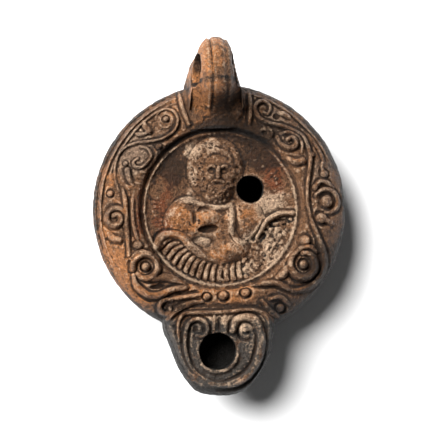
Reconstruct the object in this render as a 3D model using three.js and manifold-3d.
// A mould-made clay oil lamp: round body, sunk discus with a draped bust, vine scrolls on the
// shoulder, a wide voluted nozzle at -Y and a pierced upright handle at +Y.
// Millimetres, +Z up. The origin is the centre of the flat foot on which the lamp stands.

import * as THREE from "three";
import { mergeVertices } from "three/addons/utils/BufferGeometryUtils.js";
import Module from "manifold-3d";

const wasm = await Module();
wasm.setup();

// ---------------------------------------------------------------- driving dimensions

const footRadius = 19.0;
const footGroove = { radius: 15.5, width: 1.4, depth: 0.5 };
const seamRadius = 41.75; // widest ring, where the two moulds met
const seamHeight = 16.0;
const rimRadius = 28.2; // crest of the rim round the discus
const rimHeight = 25.4;
const ringRadius = 24.3; // thin raised ring inside the rim
const ringHeight = 23.4;
const discusRadius = 22.8;
const discusEdgeHeight = 22.2;
const discusHeight = 21.4; // middle of the dished discus

const wallFloor = 4.0;
const fillHole = { x: 9.6, y: 6.6, radius: 4.45 };
const wickHole = { x: -1.2, y: -46.1, radius: 6.0 };

const plateBackY = -33.0; // rear edge of the nozzle plate
const plateBackHeight = 25.6;
const plateFall = 0.06; // drop of the plate for each millimetre towards the tip

const bodySides = 44;
const cavitySides = 28;
const holeSides = 24;

const handle = {
  y: 44.2,
  z: 33.4,
  outer: 10.8,
  hole: 5.6,
  topHalf: 5.1, // half thickness of the strap over the top
  rootY: 26.0,
  rootHalf: 7.6,
  turn: 3.2, // set a little askew, degrees towards -X
  flare: 2.2, // how much the root widens towards the back
  taper: 0.34, // how fast the back narrows, per millimetre
};

const clay = { color: 0x9f6e4a, roughness: 0.85, metalness: 0.0 };

// ---------------------------------------------------------------- solids

function solidOf(geometry) {
  const bare = geometry.clone();
  bare.deleteAttribute("normal");
  bare.deleteAttribute("uv");
  const merged = mergeVertices(bare.index ? bare.toNonIndexed() : bare, 1e-4);
  const points = merged.attributes.position.array;
  const faces = new Uint32Array(merged.index.array);
  if (signedVolume(points, faces) < 0) {
    for (let i = 0; i < faces.length; i += 3) {
      [faces[i], faces[i + 1]] = [faces[i + 1], faces[i]];
    }
  }
  const mesh = new wasm.Mesh({ numProp: 3, vertProperties: points, triVerts: faces });
  return new wasm.Manifold(mesh);
}

function signedVolume(points, faces) {
  const corner = [new THREE.Vector3(), new THREE.Vector3(), new THREE.Vector3()];
  let volume = 0;
  for (let i = 0; i < faces.length; i += 3) {
    corner.forEach((v, k) => v.fromArray(points, 3 * faces[i + k]));
    volume += corner[0].dot(corner[1].cross(corner[2])) / 6;
  }
  return volume;
}

function geometryOf(solid) {
  const mesh = solid.getMesh();
  const geometry = new THREE.BufferGeometry();
  geometry.setAttribute("position", new THREE.BufferAttribute(new Float32Array(mesh.vertProperties), 3));
  geometry.setIndex(new THREE.BufferAttribute(new Uint32Array(mesh.triVerts), 1));
  geometry.computeVertexNormals();
  return geometry;
}

function lathe(path, sides, divisions) {
  const geometry = new THREE.LatheGeometry(path.getPoints(divisions), sides);
  geometry.rotateX(Math.PI / 2);
  return solidOf(geometry);
}

function well(hole, low, high) {
  const geometry = new THREE.CylinderGeometry(hole.radius, hole.radius, high - low, holeSides);
  geometry.rotateX(Math.PI / 2);
  geometry.translate(hole.x, hole.y, (low + high) / 2);
  return solidOf(geometry);
}

function warp(geometry, move) {
  const position = geometry.attributes.position;
  const point = new THREE.Vector3();
  for (let i = 0; i < position.count; i += 1) {
    point.fromBufferAttribute(position, i);
    move(point);
    position.setXYZ(i, point.x, point.y, point.z);
  }
  return geometry;
}

const smooth = (t) => THREE.MathUtils.smoothstep(t, 0, 1);
const polar = (degrees, radius) => {
  const angle = THREE.MathUtils.degToRad(degrees);
  return [radius * Math.cos(angle), radius * Math.sin(angle)];
};

// ---------------------------------------------------------------- body

function bodyOutside() {
  const path = new THREE.Path();
  const grooveOut = footGroove.radius + footGroove.width;
  path.moveTo(0, 0);
  path.lineTo(footGroove.radius, 0);
  path.lineTo(footGroove.radius + 0.3, footGroove.depth);
  path.lineTo(grooveOut - 0.3, footGroove.depth);
  path.lineTo(grooveOut, 0);
  path.lineTo(footRadius, 0);
  path.lineTo(footRadius + 0.8, 1.1);
  path.bezierCurveTo(28, 4.6, seamRadius, 9.5, seamRadius, seamHeight);
  const [across, upwards] = [seamRadius - rimRadius, rimHeight - seamHeight];
  path.absellipse(rimRadius, seamHeight, across, upwards, 0, Math.PI / 2, false);
  path.lineTo(rimRadius - 1.0, rimHeight - 0.3);
  path.lineTo(rimRadius - 2.2, ringHeight - 0.4);
  path.lineTo(rimRadius - 3.0, ringHeight - 0.8);
  path.lineTo(ringRadius + 0.3, ringHeight);
  path.lineTo(ringRadius - 0.4, ringHeight);
  path.lineTo(discusRadius, discusEdgeHeight);
  path.lineTo(0, discusHeight);
  return path;
}

function bodyInside() {
  const path = new THREE.Path();
  path.moveTo(0, wallFloor);
  path.lineTo(16, wallFloor);
  path.bezierCurveTo(26, 6.5, seamRadius - 3.4, 11, seamRadius - 3.4, seamHeight);
  path.quadraticCurveTo(seamRadius - 4, 21.2, rimRadius, 21.6);
  path.lineTo(discusRadius + 1, 18.9);
  path.lineTo(0, 18.2);
  return path;
}

// Height of the upper surface, on which all the relief lies
function topHeight(x, y) {
  const radius = Math.hypot(x, y);
  const plate = onPlate(x, y) ? plateHeight(y) : 0;
  if (radius < rimRadius - 1.5) {
    return discusHeight + (discusEdgeHeight - discusHeight) * Math.min(1, radius / discusRadius);
  }
  const reach = THREE.MathUtils.clamp((radius - rimRadius) / (seamRadius - rimRadius), 0, 1);
  const shoulder = seamHeight + (rimHeight - seamHeight) * Math.sqrt(1 - reach * reach);
  return Math.max(shoulder, plate);
}

// ---------------------------------------------------------------- nozzle

// Plan of the nozzle at the seam, from the root on the left round the tip to the right
const nozzlePlan = [
  [-13.5, -31.4], [-18.4, -34.2], [-18.9, -38.8], [-17.0, -43.8], [-15.4, -48.0],
  [-13.2, -53.0], [-9.2, -58.4], [-4.5, -60.5], [4.0, -60.5], [9.2, -58.2],
  [13.8, -53.2], [16.4, -48.0], [17.3, -42.6], [18.2, -38.4], [17.4, -34.0],
  [13.0, -31.4],
];
const nozzleMiddle = new THREE.Vector2(0, -36);
// Size of the plan at even steps from the underside up to the plate
const nozzleSwell = [0.56, 0.84, 0.97, 1.0, 0.96, 0.87];

const plateHeight = (y) => plateBackHeight + plateFall * (y - plateBackY);
const undersideHeight = (y) => 9.6 - 0.17 * (y + 36);

function onPlate(x, y) {
  const [dx, dy] = [x / 16.4, (y + 41) / 18];
  return y < plateBackY + 1 && dx ** 4 + dy ** 4 < 1;
}

function nozzleBlock(plan, swell, lowHeight, highHeight) {
  const curve = new THREE.SplineCurve(plan.map(([x, y]) => new THREE.Vector2(x, y)));
  const shape = new THREE.Shape(curve.getPoints(22));
  const steps = swell.length - 1;
  const geometry = new THREE.ExtrudeGeometry(shape, { depth: steps, steps, bevelEnabled: false });
  warp(geometry, (p) => {
    const level = Math.round(p.z);
    const size = swell[level];
    const rise = level / steps;
    p.x = nozzleMiddle.x + (p.x - nozzleMiddle.x) * size;
    p.y = nozzleMiddle.y + (p.y - nozzleMiddle.y) * size;
    p.z = THREE.MathUtils.lerp(lowHeight(p.y), highHeight(p.y), rise);
  });
  return solidOf(geometry);
}

function nozzleInside() {
  const plan = [
    [-15, -26], [-14.5, -40], [-11, -50], [-4, -56.5], [4, -56.5], [11, -50], [14.5, -40], [15, -26],
  ];
  const swell = [0.55, 0.88, 1.0, 0.94];
  return nozzleBlock(plan, swell, (y) => undersideHeight(y) + 3.2, (y) => plateHeight(y) - 3.6);
}

// ---------------------------------------------------------------- handle

// Half thickness of the handle: a narrow strap above, spreading where it grows out of the body
function handleHalf(y, z) {
  const spread = handle.rootHalf + handle.flare * smooth((y - handle.rootY) / 10);
  const taper = spread - handle.taper * Math.max(0, y - 41);
  const drop = smooth((handle.z + 6 - z) / 12.5);
  return handle.topHalf + (taper - handle.topHalf) * drop;
}

function handleRing() {
  const shape = new THREE.Shape();
  shape.moveTo(handle.rootY, 21);
  shape.lineTo(handle.rootY, rimHeight - 0.2);
  shape.bezierCurveTo(31, 26.5, 33.5, 31, 35.6, 39.6);
  const [arcStart, arcEnd] = [144, -32].map(THREE.MathUtils.degToRad);
  shape.absarc(handle.y, handle.z, handle.outer, arcStart, arcEnd, true);
  shape.quadraticCurveTo(50.5, 19, 40.5, 12.5);
  shape.lineTo(37, 13);
  const hole = new THREE.Path();
  hole.absarc(handle.y, handle.z, handle.hole, 0, 2 * Math.PI, false);
  shape.holes.push(hole);
  const bevel = { bevelThickness: 0.3, bevelSize: 1.3, bevelOffset: -1.3, bevelSegments: 2 };
  const geometry = new THREE.ExtrudeGeometry(shape, { depth: 1.4, curveSegments: 7, steps: 1, ...bevel });
  warp(geometry, (p) => {
    const [y, z, side] = [p.x, p.y, p.z - 0.7];
    p.set(side * handleHalf(y, z), y, z);
  });
  geometry.rotateZ(THREE.MathUtils.degToRad(handle.turn));
  return solidOf(geometry);
}

// ---------------------------------------------------------------- relief

// A half-round ridge that follows the upper surface through the given plan points
function ridge(points, width, lift = 0.1, steps = 2 * (points.length - 1)) {
  const path = new THREE.CatmullRomCurve3(
    points.map(([x, y]) => new THREE.Vector3(x, y, topHeight(x, y) + lift)),
  );
  const section = new THREE.Shape();
  section.absarc(0, 0, width / 2, 0, 2 * Math.PI, false);
  return solidOf(new THREE.ExtrudeGeometry(section, { extrudePath: path, steps, curveSegments: 2 }));
}

// Plan points of a scroll that winds inwards round its eye; hand is 1 anticlockwise, -1 clockwise
function scroll({ eye, size, turns, start, hand }) {
  const count = Math.ceil(turns * 8);
  return Array.from({ length: count + 1 }, (_, i) => {
    const t = i / count;
    const angle = THREE.MathUtils.degToRad(start + hand * 360 * turns * t);
    const radius = size * (1 - 0.75 * t);
    return [eye[0] + radius * Math.cos(angle), eye[1] + radius * Math.sin(angle)];
  });
}

// A low boss: an ellipsoid sunk in the surface so that only its cap stands proud
function boss([x, y], [rx, ry], height, turn = 0, sides = 9) {
  const geometry = new THREE.SphereGeometry(1, sides, Math.max(4, sides - 3));
  geometry.rotateX(Math.PI / 2);
  geometry.scale(rx, ry, height);
  geometry.rotateZ(THREE.MathUtils.degToRad(turn));
  geometry.translate(x, y, topHeight(x, y));
  return solidOf(geometry);
}

// Eyes of the shoulder scrolls by bearing and radius, anticlockwise from +X
const shoulderScrolls = [
  { eye: polar(67, 35.2), size: 3.2, turns: 1.1, start: 250, hand: -1 },
  { eye: polar(122, 34.4), size: 4.6, turns: 1.1, start: 225, hand: 1 },
  { eye: polar(148, 32.0), size: 4.0, turns: 1.0, start: 60, hand: -1 },
  { eye: polar(185, 34.4), size: 3.4, turns: 1.2, start: 300, hand: 1 },
  { eye: polar(218, 30.9), size: 3.8, turns: 1.1, start: 240, hand: 1 },
  { eye: polar(242, 36.6), size: 2.8, turns: 1.0, start: 250, hand: -1 },
  { eye: polar(301, 37.4), size: 2.8, turns: 1.0, start: 290, hand: 1 },
  { eye: polar(326, 32.6), size: 4.8, turns: 1.2, start: 300, hand: -1 },
  { eye: polar(4, 35.0), size: 3.0, turns: 0.9, start: 200, hand: -1 },
  { eye: polar(45, 31.4), size: 3.4, turns: 1.1, start: 215, hand: 1 },
];

// Vine stems that join the scrolls
const shoulderStems = [
  [[110, 34.4], [117, 31.4], [127, 29.8], [138, 32.4], [144, 36.2], [154, 38.0], [165, 35.8]],
  [[165, 33.6], [176, 31.2], [190, 30.8], [205, 32.6], [216, 35.2], [226, 36.6], [238, 31.4]],
  [[65, 32.2], [54, 34.2], [44, 36.6], [34, 34.8], [22, 30.8], [4, 29.6], [350, 30.6]],
  [[350, 30.6], [340, 35.0], [330, 38.0], [318, 37.8], [309, 33.0], [299, 28.6]],
].map((stem) => stem.map(([bearing, radius]) => polar(bearing, radius)));

const berries = [
  polar(133, 35.0), polar(135, 29.6), polar(172, 36.4), polar(196, 35.4), polar(204, 29.8),
  polar(270, 28.6), polar(286, 28.6), polar(339, 29.8), polar(355, 33.4), polar(20, 35.5),
];

function shoulderRelief() {
  return [
    ...shoulderScrolls.map((each) => ridge(scroll(each), 1.5, 0, Math.ceil(each.turns * 8))),
    ...shoulderStems.map((points) => ridge(points, 1.5, 0, 11)),
    ...berries.map((place) => boss(place, [1.3, 1.3], 0.9, 0, 6)),
  ];
}

function nozzleRelief() {
  const rim = [
    [-15.4, -40.5], [-14.9, -37.0], [-12.2, -34.2], [-6, -33.2],
    [4, -32.8], [11, -32.8], [14.6, -35.2], [15.8, -40.5],
  ];
  const collar = Array.from({ length: 15 }, (_, i) => {
    const angle = THREE.MathUtils.degToRad(150 + (240 * i) / 14);
    return [wickHole.x + 8.6 * Math.cos(angle), wickHole.y + 8.6 * Math.sin(angle)];
  });
  return [
    ridge(rim, 2.0, 0, 14),
    ridge(collar, 1.4, 0, 13),
    ridge(scroll({ eye: [-9.6, -39.4], size: 3.6, turns: 1.1, start: 215, hand: -1 }), 1.4, 0, 10),
    ridge(scroll({ eye: [8.2, -39.6], size: 4.2, turns: 1.1, start: 300, hand: 1 }), 1.4, 0, 10),
    ridge([[-2.0, -34.0], [-2.2, -39.2]], 1.2, 0, 1),
    ridge([[1.2, -34.0], [1.0, -39.4]], 1.2, 0, 1),
  ];
}

// Draped bust with hair and beard, facing out of the discus
function bust() {
  const folds = [
    [[-16.2, -4.2], [-13.8, 0.2], [-9.8, 2.4], [-6.4, 1.4]],
    [[-19.4, -8.6], [-15.2, -7.2], [-11.4, -8.6]],
    [[-6.6, 1.8], [-2.0, 0.2], [3.6, 1.6]],
    [[3.8, 1.2], [4.2, -4.6], [3.4, -9.0]],
    [[12.8, -1.8], [11.6, -5.6], [9.6, -9.2], [4.4, -10.4]],
    [[12.4, -7.6], [15.6, -3.2], [19.2, -1.0], [22.4, -1.6]],
  ];
  return [
    boss([-2.2, 12.6], [8.2, 10.2], 2.6, 0, 11),
    boss([-1.8, 11.4], [5.6, 7.0], 4.0, 0, 11),
    boss([-2.0, 5.6], [4.2, 3.2], 3.6, 0, 9),
    boss([-2.4, -4.2], [14.4, 6.6], 1.9, -4, 10),
    boss([-11.6, -4.6], [5.2, 7.4], 2.5, -24, 9),
    boss([-3.4, -3.2], [3.9, 2.8], 3.6, 8, 9),
    boss([8.4, -4.6], [5.0, 6.0], 2.4, 20, 9),
    boss([1.6, -12.6], [8.4, 3.8], 2.2, 4, 9),
    boss([17.0, -2.2], [6.4, 2.0], 1.7, 22, 8),
    ...folds.map((points) => ridge(points, 1.5, 0.9)),
  ];
}

// Fluted crescent under the bust: ribs that turn from slanting to upright as they go round
function crescent() {
  const ribs = 11;
  return Array.from({ length: ribs }, (_, i) => {
    const t = i / (ribs - 1);
    const bearing = 209 + 68 * t;
    const [x, y] = polar(bearing, 22.0 - 0.4 * t);
    const slant = THREE.MathUtils.degToRad(32 + 56 * t);
    const length = 6.0 + 1.6 * Math.sin(Math.PI * t);
    return ridge([[x, y], [x + length * Math.cos(slant), y + length * Math.sin(slant)]], 1.3, 0.1, 1);
  });
}

// ---------------------------------------------------------------- the lamp

function makeLamp() {
  const shell = lathe(bodyOutside(), bodySides, 4)
    .add(nozzleBlock(nozzlePlan, nozzleSwell, undersideHeight, plateHeight))
    .add(handleRing());
  const relief = [...shoulderRelief(), ...nozzleRelief(), ...bust(), ...crescent()];
  const hollow = lathe(bodyInside(), cavitySides, 3).add(nozzleInside());
  return relief
    .reduce((whole, piece) => whole.add(piece), shell)
    .subtract(hollow)
    .subtract(well(fillHole, seamHeight, rimHeight + 8))
    .subtract(well(wickHole, seamHeight, plateBackHeight + 8));
}

const lamp = new THREE.Mesh(geometryOf(makeLamp()), new THREE.MeshStandardMaterial(clay));
lamp.name = "lamp";

const group = new THREE.Group();
group.add(lamp);

export default group;
